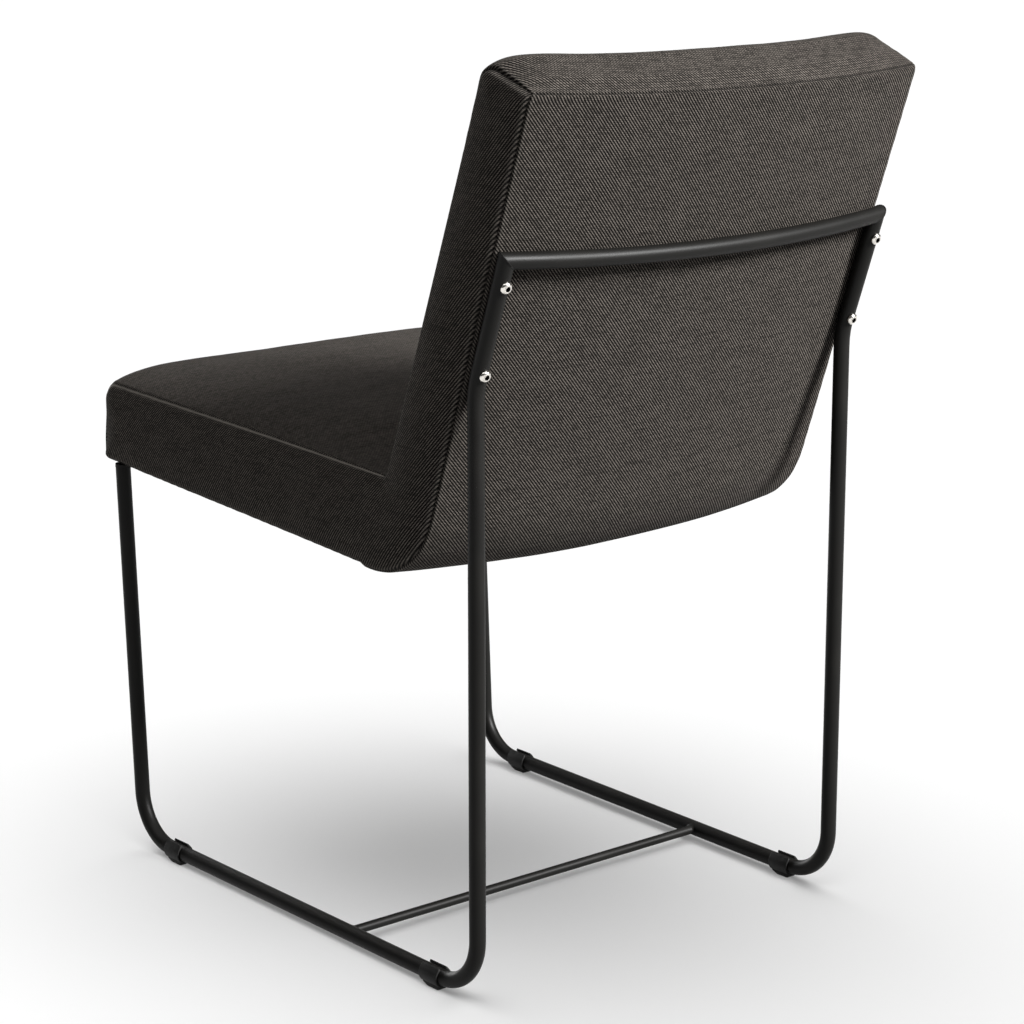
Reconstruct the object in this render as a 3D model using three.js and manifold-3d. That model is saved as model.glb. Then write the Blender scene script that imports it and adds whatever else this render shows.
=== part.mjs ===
// Dining chair: a one-piece upholstered seat and back on a sled frame of bent steel tube.
// Millimetres, +Z up from the floor, the chair's front towards -Y, the sitter's left towards +X.
import * as THREE from "three";
import { mergeVertices } from "three/addons/utils/BufferGeometryUtils.js";
import Module from "manifold-3d";

const wasm = await Module();
wasm.setup();

const radians = THREE.MathUtils.degToRad;

// ================================================================ driving dimensions
const gap = 0.3; // air between two pieces that touch

// Overall.
const seatWidth = 456;
const seatSeamHeight = 479; // the seam along the seat's top edge, at the seat's front
const seatThickness = 80; // from that seam down to the underside, at the seat's front
const baseDepth = 534; // between the centrelines of the front and rear legs at the floor

// Steel frame, measured between tube centrelines.
const tubeDiameter = 15;
const tubeWall = 1.5;
const postInset = 8; // from the seat's sides to the rear legs' centrelines
const rearTrack = seatWidth - 2 * postInset;
const frontTrack = rearTrack + 10;
const floorBendRadius = 50;
const frontLegLean = radians(2.9);
const postRecline = radians(19.3);
const kneeHeight = seatSeamHeight + 78; // where the rear leg's line meets the reclined post's line
const kneeBendRadius = 80;
const railCornerHeight = kneeHeight + 113; // where the posts meet the top rail
const topRailBow = 20.5; // how far the middle of the top rail stands behind its ends
const stretcherDiameter = 9;
const stretcherBehindMiddle = 77;

// Glides: split sleeves on the floor rails, each on a foot.
const glideFoot = 4; // how far the foot holds the tube off the floor
const glideWall = 2;
const glideLength = 25;
const glideFootLength = 16;
const glideFootSetback = 1.5; // of the foot's rear end from the sleeve's
const glideFootWidth = 12;
const glideFromBend = 10.5; // from the end of a floor bend to the middle of a glide
const glideSplitAngle = radians(40); // the open part of the sleeve, at its top

// Screws, inserts and the plates on top of the front legs.
const plateThickness = 3;
const plateReach = 54; // from the leg's centreline inwards
const plateScrewReaches = [20, 44]; // from the leg's centreline inwards
const screwDiameter = 6;
const screwHeadDiameter = 11;
const screwHeadHeight = 3.3;
const socketAcrossFlats = 4;
const socketDepth = 2;
const screwTipShort = 2; // a screw's tip stops this far before the insert's flange
const holeClearance = 0.6; // on the diameter of every hole
const insertBarrelDiameter = 8;
const insertFlangeDiameter = 10;
const insertFlangeThickness = 1.4;
const insertBarrelShort = 2; // a barrel stops this far before the shell's outer face
const lowerScrewHeight = kneeHeight + 15;
const upperScrewHeight = railCornerHeight - 20;

// Upholstery.
const coverThickness = 2;
const dustCoverThickness = 0.9;
const shellThickness = 12;
const shellSideInset = 2.5; // from the side panels' outer faces to the edges of the shell
const shellEndInset = 14; // foam in front of the shell's front edge and above its top edge
const seatFrontReach = 43; // the seat's front ahead of the front legs' line at the floor rail
const undersideHeight = seatSeamHeight - seatThickness; // at the seat's front
const undersideFall = radians(3.3);
const seatSeamFall = radians(2);
const backTopThickness = 64;
const backTaper = radians(1.1); // the back's face leans back more than its rear
const backTopHeight = railCornerHeight + 140; // the seam along the back's rear top edge
const rearCornerRadius = 93;
const seatFrontTopRadius = 18;
const seatFrontBottomRadius = 13;
const creaseRadius = 9;
const backTopFrontRadius = 22;
const backTopRearRadius = 4;
const seatCrown = 18; // how far the middle of the seat stands above its side seams
const backCrown = 9;
const topCrown = 13;
const backBow = 19; // how far the middle of the back stands behind its sides
const bowTurn = radians(15); // the bow is complete this far round the rear bottom corner
const crownRise = 90; // the seat's and the back's crowns grow over this length from the crease
const topRise = 45; // the back's crown turns over into its top edge's over this height
const frontHem = 34; // the seat's front cover turns under the seat by this much
const rearHem = 118; // the outside cover runs this far under the seat from its rear corner

// Facets.
const tubeSides = 12;
const screwSides = 12;
const bendStep = radians(18);
const widthSteps = 8;
const longestRun = 60; // a longer straight run of a padded outline is divided

// ================================================================ outlines, in the side view (y, z)
const along = (p, d, t) => [p[0] + d[0] * t, p[1] + d[1] * t];
const minus = (a, b) => [a[0] - b[0], a[1] - b[1]];
const dot = (a, b) => a[0] * b[0] + a[1] * b[1];
const cross = (a, b) => a[0] * b[1] - a[1] * b[0];
const unit = (v) => [v[0] / Math.hypot(...v), v[1] / Math.hypot(...v)];
const leftOf = (d) => [-d[1], d[0]];
const corner = (at, radius = 0) => ({ at, radius });

// Where the line through p along d meets the line through q along e.
const meet = (p, d, q, e) => along(p, d, cross(minus(q, p), e) / cross(d, e));

// A run of corners moved to its left by a distance, with its radii changed to match.
// An open run keeps its two ends square to its end lines.
function inset(corners, distance, closed) {
  const n = corners.length;
  const direction = (i) => unit(minus(corners[(i + 1) % n].at, corners[i % n].at));
  return corners.map(({ at, radius }, i) => {
    const isEnd = !closed && (i === 0 || i === n - 1);
    const before = direction(i === 0 && !closed ? 0 : i + n - 1);
    const after = direction(i === n - 1 && !closed ? i - 1 : i);
    const moved = along(at, leftOf(before), distance);
    if (isEnd) return corner(along(at, leftOf(i === 0 ? after : before), distance));
    const turn = Math.sign(cross(before, after));
    const newRadius = Math.max(0, radius - turn * distance);
    return corner(meet(moved, before, along(at, leftOf(after), distance), after), newRadius);
  });
}

// The points of a run of corners, with each corner's radius drawn as an arc of equal chords.
function rounded(corners, closed) {
  const n = corners.length;
  return corners.flatMap(({ at, radius }, i) => {
    if (!radius || (!closed && (i === 0 || i === n - 1))) return [at];
    const before = unit(minus(at, corners[(i + n - 1) % n].at));
    const after = unit(minus(corners[(i + 1) % n].at, at));
    const turn = Math.atan2(cross(before, after), dot(before, after));
    const start = along(at, before, -radius * Math.tan(Math.abs(turn) / 2));
    const centre = along(start, leftOf(before), radius * Math.sign(turn));
    const steps = Math.max(2, Math.ceil(Math.abs(turn) / bendStep));
    return Array.from({ length: steps + 1 }, (_, k) => {
      const [c, s] = [Math.cos((turn * k) / steps), Math.sin((turn * k) / steps)];
      const arm = minus(start, centre);
      return [centre[0] + arm[0] * c - arm[1] * s, centre[1] + arm[0] * s + arm[1] * c];
    });
  });
}

// The closed outline of the layer between two depths under an open run of corners.
function layer(corners, near, far) {
  const outer = rounded(inset(corners, near, false), false);
  const inner = rounded(inset(corners, far, false), false);
  return [...outer, ...inner.reverse()];
}

// ================================================================ places worked out from the dimensions
const tubeRadius = tubeDiameter / 2;
const railHeight = glideFoot + tubeRadius;
const legLineY = baseDepth / 2;
const toeIn = Math.atan2(frontTrack - rearTrack, 2 * baseDepth); // of each side frame, from above
const halfTrackAt = (y) => (frontTrack + rearTrack) / 4 - (y * (frontTrack - rearTrack)) / baseDepth / 2;
const up = [Math.sin(postRecline), Math.cos(postRecline)]; // along the posts and the back
const rearwards = [up[1], -up[0]]; // square to them
const postAt = (height) => [legLineY + (height - kneeHeight) * Math.tan(postRecline), height];
const frontLegAt = (height) => [-legLineY - (height - railHeight) * Math.tan(frontLegLean), height];
const railCorner = postAt(railCornerHeight);

const halfWidth = seatWidth / 2;
const bowAt = (x) => backBow * (1 - (x / halfWidth) ** 2);
const crownAt = (x, sharpness = 4) => Math.max(0, 1 - (x / halfWidth) ** sharpness);

// The upholstery's outer edge at a side seam, counter-clockwise from the seat's front bottom.
// The posts lie against the back's outer face.
const frontY = -legLineY - seatFrontReach;
const underside = [Math.cos(undersideFall), -Math.sin(undersideFall)];
const seatRun = [Math.cos(seatSeamFall), -Math.sin(seatSeamFall)];
const onRearFace = along(postAt(kneeHeight), rearwards, -tubeRadius - gap - bowAt(rearTrack / 2));
const frontBottom = [frontY, undersideHeight];
const frontTop = [frontY, seatSeamHeight];
const rearBottom = meet(frontBottom, underside, onRearFace, up);
const topRear = meet(onRearFace, up, [0, backTopHeight], [1, 0]);
const topFront = along(topRear, rearwards, -backTopThickness);
const faceUp = [Math.sin(postRecline + backTaper), Math.cos(postRecline + backTaper)];
const crease = meet(frontTop, seatRun, topFront, faceUp);
const outerEdge = [
  corner(frontBottom, seatFrontBottomRadius),
  corner(rearBottom, rearCornerRadius),
  corner(topRear, backTopRearRadius),
  corner(topFront, backTopFrontRadius),
  corner(crease, creaseRadius),
  corner(frontTop, seatFrontTopRadius),
];
const bendTurn = Math.PI / 2 - postRecline + undersideFall; // of the rear bottom corner
const bendStart = along(rearBottom, underside, -rearCornerRadius * Math.tan(bendTurn / 2));
const bendCentre = along(bendStart, leftOf(underside), rearCornerRadius);
const [FRONT_BOTTOM, REAR_BOTTOM, TOP_REAR, TOP_FRONT, CREASE, FRONT_TOP] = outerEdge.keys();

const foamDepth = coverThickness + gap; // from the outer edge to the foam and the shell
const shellInner = foamDepth + shellThickness; // from the outer edge to the shell's inner face
const backLength = dot(minus(topFront, crease), up);

// ================================================================ solids
function solidOf(geometry) {
  const bare = geometry.clone();
  bare.deleteAttribute("normal");
  bare.deleteAttribute("uv");
  const merged = mergeVertices(bare, 1e-4);
  return new wasm.Manifold(
    new wasm.Mesh({
      numProp: 3,
      vertProperties: new Float32Array(merged.attributes.position.array),
      triVerts: new Uint32Array(merged.index.array),
    }),
  );
}

function geometryOf(solid) {
  const mesh = solid.getMesh();
  const geometry = new THREE.BufferGeometry();
  geometry.setAttribute("position", new THREE.BufferAttribute(mesh.vertProperties, 3));
  geometry.setIndex(new THREE.BufferAttribute(mesh.triVerts, 1));
  geometry.computeVertexNormals();
  return geometry;
}

const cut = (geometry, ...tools) =>
  geometryOf(tools.reduce((left, tool) => left.subtract(solidOf(tool)), solidOf(geometry)));

// A big block whose near face passes through a point and faces against a direction.
function blockBeyond(point, direction) {
  const size = 20 * tubeDiameter;
  const turn = new THREE.Quaternion().setFromUnitVectors(new THREE.Vector3(0, 0, 1), direction);
  return new THREE.BoxGeometry(size, size, size)
    .translate(0, 0, size / 2)
    .applyQuaternion(turn)
    .translate(point.x, point.y, point.z);
}

// An outline in (y, z) carried across the chair between two values of x.
function acrossChair(points, fromX, toX, steps = 1) {
  const shape = new THREE.Shape(points.map(([y, z]) => new THREE.Vector2(y, z)));
  const options = { depth: toX - fromX, steps, bevelEnabled: false };
  const [x, y, z] = [[1, 0, 0], [0, 1, 0], [0, 0, 1]].map((axis) => new THREE.Vector3(...axis));
  const turn = new THREE.Matrix4().makeBasis(y, z, x);
  return new THREE.ExtrudeGeometry(shape, options).applyMatrix4(turn).translate(fromX, 0, 0);
}

// A curve through stations, so that each step of an extrusion along it falls on a station.
class StationPath extends THREE.Curve {
  constructor(stations) {
    super();
    this.stations = stations;
  }
  getPoint(t, target = new THREE.Vector3()) {
    const place = t * (this.stations.length - 1);
    const i = Math.min(Math.floor(place), this.stations.length - 2);
    return target.lerpVectors(this.stations[i], this.stations[i + 1], place - i);
  }
  getPointAt(u, target) {
    return this.getPoint(u, target);
  }
  getTangentAt(u, target = new THREE.Vector3()) {
    const last = this.stations.length - 1;
    const i = Math.round(u * last);
    const [next, previous] = [this.stations[Math.min(i + 1, last)], this.stations[Math.max(i - 1, 0)]];
    return target.subVectors(next, previous).normalize();
  }
}

// A round tube or rod through stations. Its section has flats that touch the true circle's points.
function tubeAlong(stations, outerRadius, innerRadius = 0) {
  const circle = (radius) =>
    Array.from({ length: tubeSides }, (_, k) => {
      const angle = (2 * Math.PI * (k + 0.5)) / tubeSides;
      return new THREE.Vector2(radius * Math.cos(angle), radius * Math.sin(angle));
    });
  const section = new THREE.Shape(circle(outerRadius));
  if (innerRadius) section.holes.push(new THREE.Path(circle(innerRadius)));
  return new THREE.ExtrudeGeometry(section, {
    steps: stations.length - 1,
    extrudePath: new StationPath(stations),
    bevelEnabled: false,
  });
}

// A solid of revolution: its profile is (radius, distance along a direction from a point).
function turned(profile, from, direction, sides = screwSides) {
  const lathe = new THREE.LatheGeometry(profile.map(([r, d]) => new THREE.Vector2(r, d)), sides);
  const turn = new THREE.Quaternion().setFromUnitVectors(new THREE.Vector3(0, 1, 0), direction);
  return lathe.applyQuaternion(turn).translate(from.x, from.y, from.z);
}

// A plain round bar about an axis, between two distances from a point.
const bar = (radius, from, direction, start, end, sides) =>
  turned([[0, start], [radius, start], [radius, end], [0, end]], from, direction, sides);

// ================================================================ the padding's fullness
const fade = (t) => THREE.MathUtils.smoothstep(t, 0, 1);

// Long straight runs are divided where they cross shared levels, so that layers bend alike.
function divided(points) {
  return points.flatMap((p, i) => {
    const q = points[(i + 1) % points.length];
    const inBack = Math.abs(dot(minus(q, p), up)) > Math.abs(q[0] - p[0]);
    const level = inBack ? (r) => dot(minus(r, crease), up) : (r) => r[0] - crease[0];
    if (Math.hypot(...minus(q, p)) < longestRun) return [p];
    const [a, b] = [level(p) / longestRun, level(q) / longestRun];
    const levels = [];
    for (let k = Math.ceil(Math.min(a, b) + 0.1); k < Math.max(a, b) - 0.1; k += 1) levels.push(k);
    if (a > b) levels.reverse();
    return [p, ...levels.map((k) => along(p, minus(q, p), (k - a) / (b - a)))];
  });
}

// The back is bowed to the rear in plan. Foam and covers are also fuller in the middle
// of the seat, the back and its top edge than along their seams.
function shaped(geometry, isPadding) {
  const position = geometry.attributes.position;
  const foamInBack = backTopThickness - shellInner;
  const foamInSeat = seatSeamHeight - undersideHeight - shellInner;
  for (let i = 0; i < position.count; i += 1) {
    const x = position.getX(i);
    const at = [position.getY(i), position.getZ(i)];
    const height = dot(minus(at, crease), up);
    const behindFace = cross(minus(at, topFront), faceUp);
    const belowSeam = (at[0] - frontTop[0]) * -Math.tan(seatSeamFall) + frontTop[1] - at[1];
    const [behindBend, underBend] = [at[0] - bendCentre[0], bendCentre[1] - at[1]];
    const inBack = fade((Math.atan2(behindBend, underBend) + undersideFall) / bowTurn);
    const crown = isPadding ? crownAt(x) : 0;
    const edgeCrown = isPadding ? crownAt(x, 8) * fade(1 - behindFace / backTopThickness) : 0;
    const nearTop = fade(1 + (height - backLength) / topRise);
    const nearFace = fade(1 - behindFace / foamInBack) * fade(height / crownRise) * (1 - nearTop);
    const nearSeat = fade(1 - belowSeam / foamInSeat) * fade((crease[0] - at[0]) / crownRise);
    const back = bowAt(x) * inBack - backCrown * crown * nearFace;
    const top = topCrown * edgeCrown * nearTop;
    const [y, z] = along(along(at, rearwards, back), up, top);
    position.setXYZ(i, x, y, z + seatCrown * crown * nearSeat);
  }
  return geometry;
}

// Each four-sided facet of a bent wall is split the same way, whichever way its outline runs:
// from its lower corner nearer the middle to its higher corner nearer a side.
function evenlySplit(geometry) {
  const position = geometry.attributes.position;
  const wall = geometry.groups[1];
  for (let i = wall.start; i < wall.start + wall.count; i += 6) {
    const at = (k) => new THREE.Vector3().fromBufferAttribute(position, k);
    const corners = [i, i + 1, i + 4, i + 5].map(at);
    const middle = Math.min(...corners.map((c) => Math.abs(c.x)));
    const inner = corners.filter((c) => Math.abs(c.x) < middle + gap);
    const level = (c) => c.z + c.y * Math.tan(postRecline);
    const start = corners.indexOf(inner.sort((a, b) => level(a) - level(b))[0]);
    const [a, b, c, d] = [0, 1, 2, 3].map((k) => corners[(start + k) % 4]);
    [a, b, c, a, c, d].forEach((v, k) => position.setXYZ(i + k, v.x, v.y, v.z));
  }
  return geometry;
}

const shapedAcross = (points, halfLength, isPadding) =>
  evenlySplit(shaped(acrossChair(divided(points), -halfLength, halfLength, widthSteps), isPadding));

// ================================================================ pieces
const finishes = {
  powderCoat: { color: 0x17181a, roughness: 0.45, metalness: 0.6 },
  nickel: { color: 0xc9c6c0, roughness: 0.25, metalness: 1 },
  zinc: { color: 0xa9adb1, roughness: 0.4, metalness: 1 },
  blackPlastic: { color: 0x141414, roughness: 0.5, metalness: 0 },
  plywood: { color: 0xc8a574, roughness: 0.7, metalness: 0 },
  foam: { color: 0xd9d3bf, roughness: 0.95, metalness: 0 },
  fabric: { color: 0x4a4744, roughness: 0.95, metalness: 0 },
  blackCloth: { color: 0x1b1b1b, roughness: 0.95, metalness: 0 },
};

const chair = new THREE.Group();
function add(name, geometry, finish) {
  const mesh = new THREE.Mesh(geometry, new THREE.MeshStandardMaterial(finishes[finish]));
  mesh.name = name;
  chair.add(mesh);
}

const sides = [
  { side: "left", sign: 1 },
  { side: "right", sign: -1 },
];
const inFrame = (sign, [y, z]) => new THREE.Vector3(sign * halfTrackAt(y), y, z);
const vector = ([y, z]) => new THREE.Vector3(0, y, z);

// ---------------------------------------------------------------- screws and inserts
const intoBack = vector(rearwards).negate();
const intoSeat = vector(leftOf(underside));
const undersideAt = (y) => meet(frontBottom, underside, [y, 0], [0, 1]);
const legTopY = frontLegAt(undersideHeight)[0];

// Each fixing: where its screw's axis meets the upholstery's outer face, the way it goes in,
// how far outside that face its head bears, and how far the bow has moved the face there.
const backFixings = sides.flatMap(({ side, sign }) =>
  [["lower", lowerScrewHeight], ["upper", upperScrewHeight]].map(([level, height]) => ({
    name: `back_%_${level}_${side}`,
    at: inFrame(sign, along(postAt(height), rearwards, -tubeRadius - gap)),
    into: intoBack,
    bearing: tubeDiameter + gap * 2,
    bow: bowAt(rearTrack / 2),
  })),
);
const seatFixings = sides.flatMap(({ side, sign }) =>
  plateScrewReaches.map((reach, i) => ({
    name: `seat_%_${["outer", "inner"][i]}_${side}`,
    at: vector(undersideAt(legTopY)).setX(sign * (halfTrackAt(legTopY) - reach)),
    into: intoSeat,
    bearing: plateThickness + gap * 2,
    bow: 0,
  })),
);
const fixings = [...backFixings, ...seatFixings];
const holeRadius = (screwDiameter + holeClearance) / 2;
const drill = (fixing, radius, start, end) => bar(radius, fixing.at, fixing.into, start, end);
const flangeFace = (fixing) => shellInner + fixing.bow + gap;
const screwHoles = (list) => list.map((f) => drill(f, holeRadius, -3 * tubeDiameter, shellInner));

// A button-head screw with a hexagon socket. Distances run inwards from the outer edge.
function screw(fixing) {
  const [head, shank] = [screwHeadDiameter / 2, screwDiameter / 2];
  const [top, seat] = [-fixing.bearing - screwHeadHeight, -fixing.bearing];
  const profile = [
    [0, top],
    [head * 0.5, top],
    [head * 0.82, top + screwHeadHeight * 0.25],
    [head * 0.97, top + screwHeadHeight * 0.6],
    [head, seat],
    [shank, seat],
    [shank, shellInner - screwTipShort],
    [0, shellInner - screwTipShort],
  ];
  const socketRadius = socketAcrossFlats / 2 / Math.cos(Math.PI / 6);
  const socket = bar(socketRadius, fixing.at, fixing.into, top - 1, top + socketDepth, 6);
  add(fixing.name.replace("%", "screw"), cut(turned(profile, fixing.at, fixing.into), socket), "nickel");
}

// A flanged threaded insert, pushed into the shell from its inner face.
function insert(fixing) {
  const [bore, barrel, flange] = [holeRadius, insertBarrelDiameter / 2, insertFlangeDiameter / 2];
  const [start, face] = [foamDepth + insertBarrelShort, flangeFace(fixing)];
  const end = face + insertFlangeThickness;
  const barrelEdge = [[bore, start], [barrel, start], [barrel, face]];
  const profile = [...barrelEdge, [flange, face], [flange, end], [bore, end], [bore, start]];
  add(fixing.name.replace("%", "insert"), turned(profile, fixing.at, fixing.into), "zinc");
}

// ---------------------------------------------------------------- steel frame
const plateFaceBelow = (depth) => vector(along(undersideAt(legTopY), leftOf(underside), -depth));

// The mitre between a post and the top rail: its plane and the rail's direction there.
function railMitre(sign) {
  const at = inFrame(sign, railCorner);
  const endTurn = 2 * Math.atan2(2 * topRailBow, 2 * at.x * sign);
  const rail = vector(rearwards).multiplyScalar(Math.sin(endTurn)).setX(-sign * Math.cos(endTurn));
  const normal = vector(up).add(rail).normalize();
  return { at, rail, normal };
}

// One bent tube: front leg, floor rail, rear leg and reclined post.
function sideFrame({ side, sign }) {
  const overrun = 3 * tubeDiameter;
  const run = [
    corner(frontLegAt(undersideHeight + overrun)),
    corner(frontLegAt(railHeight), floorBendRadius),
    corner([legLineY, railHeight], floorBendRadius),
    corner([legLineY, kneeHeight], kneeBendRadius),
    corner(postAt(railCornerHeight + overrun)),
  ];
  const stations = rounded(run, false).map((p) => inFrame(sign, p));
  const mitre = railMitre(sign);
  const legTop = plateFaceBelow(2 * gap + plateThickness).setX(sign * halfTrackAt(legTopY));
  const tools = [
    blockBeyond(legTop, intoSeat),
    blockBeyond(mitre.at.clone().addScaledVector(mitre.normal, -gap / 2), mitre.normal),
    ...screwHoles(backFixings.filter((f) => f.at.x * sign > 0)),
  ];
  const tube = tubeAlong(stations, tubeRadius, tubeRadius - tubeWall);
  add(`${side}_side_frame`, cut(tube, ...tools), "powderCoat");
}

// The tube behind the back, bowed to an arc and mitred to the posts.
function topBackRail() {
  const half = railMitre(1).at.x;
  const radius = (half ** 2 + topRailBow ** 2) / (2 * topRailBow);
  const reach = Math.asin(half / radius);
  const arc = Array.from({ length: widthSteps + 1 }, (_, k) => {
    const angle = reach * (1 - (2 * k) / widthSteps);
    const behind = topRailBow - radius * (1 - Math.cos(angle));
    return vector(along(railCorner, rearwards, behind)).setX(radius * Math.sin(angle));
  });
  const overrun = (sign) => railMitre(sign).at.addScaledVector(railMitre(sign).rail, -tubeDiameter);
  const tube = tubeAlong([overrun(1), ...arc, overrun(-1)], tubeRadius, tubeRadius - tubeWall);
  const tools = sides.map(({ sign }) => {
    const { at, normal } = railMitre(sign);
    return blockBeyond(at.addScaledVector(normal, gap / 2), normal.clone().negate());
  });
  add("top_back_rail", cut(tube, ...tools), "powderCoat");
}

// The rod between the floor rails, its ends hollowed to sit round them.
function floorStretcher() {
  const end = inFrame(1, [stretcherBehindMiddle, railHeight]);
  const rod = tubeAlong([end, end.clone().setX(-end.x)], stretcherDiameter / 2);
  const rails = sides.map(({ sign }) => {
    const at = inFrame(sign, [stretcherBehindMiddle, railHeight]);
    const rail = new THREE.Vector3(-sign * Math.sin(toeIn), Math.cos(toeIn), 0);
    return bar(tubeRadius + gap, at, rail, -4 * tubeDiameter, 4 * tubeDiameter, 2 * tubeSides);
  });
  add("floor_stretcher", cut(rod, ...rails), "powderCoat");
}

// The plate on top of a front leg, under the seat: as wide as the tube, and round where it covers it.
function legPlate({ side, sign }) {
  const outline = new THREE.Shape()
    .moveTo(-plateReach, -tubeRadius)
    .absarc(0, 0, tubeRadius, -Math.PI / 2, Math.PI / 2)
    .lineTo(-plateReach, tubeRadius);
  const middle = plateFaceBelow(gap + plateThickness / 2);
  const depth = plateThickness;
  const plate = new THREE.ExtrudeGeometry(outline, { depth, bevelEnabled: false, curveSegments: 24 })
    .translate(0, 0, -plateThickness / 2)
    .rotateZ(sign > 0 ? 0 : Math.PI)
    .rotateX(-undersideFall)
    .translate(sign * halfTrackAt(legTopY), middle.y, middle.z);
  const holes = screwHoles(seatFixings.filter((f) => f.at.x * sign > 0));
  add(`leg_plate_${side}`, cut(plate, ...holes), "powderCoat");
}

// A split sleeve round the floor rail on a foot whose front end is tapered.
function glide(place, y, { side, sign }) {
  const [inner, outer] = [tubeRadius + gap, tubeRadius + gap + glideWall];
  const steps = 14;
  const arc = (radius) =>
    Array.from({ length: steps + 1 }, (_, k) => {
      const angle = Math.PI / 2 + glideSplitAngle / 2 + ((2 * Math.PI - glideSplitAngle) * k) / steps;
      return new THREE.Vector2(radius * Math.cos(angle), radius * Math.sin(angle));
    });
  const ring = new THREE.Shape([...arc(outer), ...arc(inner).reverse()]);
  const sleeve = new THREE.ExtrudeGeometry(ring, { depth: glideLength, bevelEnabled: false })
    .rotateX(Math.PI / 2)
    .translate(0, glideLength / 2, 0);
  const [front, rear] = [-glideLength / 2, glideLength / 2];
  const [toe, heel] = [rear - glideFootSetback - glideFootLength, rear - glideFootSetback];
  const sole = [[toe, -railHeight], [heel, -railHeight]];
  const inside = glideWall - inner; // up inside the sleeve's wall
  const outline = [[front, -inner], ...sole, [rear, -inner], [rear, inside], [front, inside]];
  const foot = acrossChair(outline, -glideFootWidth / 2, glideFootWidth / 2);
  const [middle, lengthways] = [new THREE.Vector3(), new THREE.Vector3(0, 1, 0)];
  const bore = bar(inner, middle, lengthways, -glideLength, glideLength, 2 * steps);
  const whole = geometryOf(solidOf(sleeve).add(solidOf(foot)).subtract(solidOf(bore)));
  whole.rotateZ(sign * toeIn).translate(sign * halfTrackAt(y), y, railHeight);
  add(`glide_${place}_${side}`, whole, "blackPlastic");
}

// ---------------------------------------------------------------- seat and back
const onUnderside = (distance) => along(frontBottom, underside, distance);
const rearHemEnd = dot(minus(rearBottom, frontBottom), underside) - rearHem;

// The moulded plywood shell, one piece from the seat's front to the back's top.
function shell() {
  const run = [
    corner(onUnderside(shellEndInset)),
    outerEdge[REAR_BOTTOM],
    corner(along(topRear, up, -shellEndInset)),
  ];
  const panel = shapedAcross(layer(run, foamDepth, shellInner), halfWidth - shellSideInset, false);
  const radius = (insertBarrelDiameter + holeClearance) / 2;
  const barrels = fixings.map((f) => drill(f, radius, -tubeDiameter, 2 * shellInner));
  add("plywood_shell", cut(panel, ...barrels), "plywood");
}

// The two foams meet on a line from the crease to the start of the shell's bend.
function foams() {
  const skin = inset(outerEdge, foamDepth, true);
  const face = inset(outerEdge, shellInner + gap, true);
  const foamBottom = along(bendStart, leftOf(underside), shellInner + gap);
  const deep = (at, direction, depth) => along(at, leftOf(direction), depth);
  const shellFront = onUnderside(shellEndInset - gap);
  const shellTop = along(topRear, up, gap - shellEndInset);
  const creaseTurn = Math.PI / 2 - postRecline - backTaper + seatSeamFall;
  const creaseRun = skin[CREASE].radius * Math.tan(creaseTurn / 2);
  const seat = [
    skin[FRONT_BOTTOM],
    corner(deep(shellFront, underside, foamDepth)),
    corner(deep(shellFront, underside, shellInner + gap)),
    corner(along(foamBottom, underside, -2 * gap)),
    corner(along(skin[CREASE].at, seatRun, -2 * gap)),
    corner(along(skin[CREASE].at, seatRun, -creaseRun)),
    skin[FRONT_TOP],
  ];
  const back = [
    corner(along(foamBottom, underside, -gap)),
    face[REAR_BOTTOM],
    corner(deep(shellTop, up, shellInner + gap)),
    corner(deep(shellTop, up, foamDepth)),
    skin[TOP_REAR],
    skin[TOP_FRONT],
    corner(along(skin[CREASE].at, faceUp, creaseRun)),
    corner(along(skin[CREASE].at, faceUp, gap)),
  ];
  const recesses = (list) =>
    list.map((f) =>
      drill(f, insertFlangeDiameter / 2 + gap, shellInner - gap, flangeFace(f) + insertFlangeThickness + gap),
    );
  const half = halfWidth - foamDepth;
  add("seat_foam", cut(shapedAcross(rounded(seat, true), half, true), ...recesses(seatFixings)), "foam");
  add("back_foam", cut(shapedAcross(rounded(back, true), half, true), ...recesses(backFixings)), "foam");
}

// The sewn cover, panel by panel, and the cloth that closes the underside.
function covers() {
  const half = halfWidth - foamDepth;
  const front = [
    corner(topRear),
    outerEdge[TOP_FRONT],
    outerEdge[CREASE],
    outerEdge[FRONT_TOP],
    outerEdge[FRONT_BOTTOM],
    corner(onUnderside(frontHem)),
  ];
  const outside = [
    corner(onUnderside(rearHemEnd)),
    outerEdge[REAR_BOTTOM],
    corner(along(topRear, up, -foamDepth)),
  ];
  const dust = [corner(onUnderside(frontHem + gap)), corner(onUnderside(rearHemEnd - gap))];
  const panel = (run, near, far) => shapedAcross(layer(run, near, far), half, true);
  const seatHoles = screwHoles(seatFixings);
  add("seat_and_back_cover", cut(panel(front, 0, coverThickness), ...seatHoles), "fabric");
  add("outside_back_cover", cut(panel(outside, 0, coverThickness), ...screwHoles(backFixings)), "fabric");
  const dustNear = coverThickness - dustCoverThickness;
  add("dust_cover", cut(panel(dust, dustNear, coverThickness), ...seatHoles), "blackCloth");
  for (const { side, sign } of sides) {
    const [a, b] = [sign * halfWidth, sign * (halfWidth - coverThickness)].sort((p, q) => p - q);
    const edge = divided(rounded(outerEdge, true));
    add(`side_panel_${side}`, shaped(acrossChair(edge, a, b), true), "fabric");
  }
}

// ================================================================ the chair
const bendEnd = legLineY - floorBendRadius - glideFromBend;
for (const each of sides) {
  sideFrame(each);
  legPlate(each);
  glide("front", -bendEnd, each);
  glide("rear", bendEnd, each);
}
topBackRail();
floorStretcher();
for (const fixing of fixings) {
  screw(fixing);
  insert(fixing);
}
shell();
foams();
covers();

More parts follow.
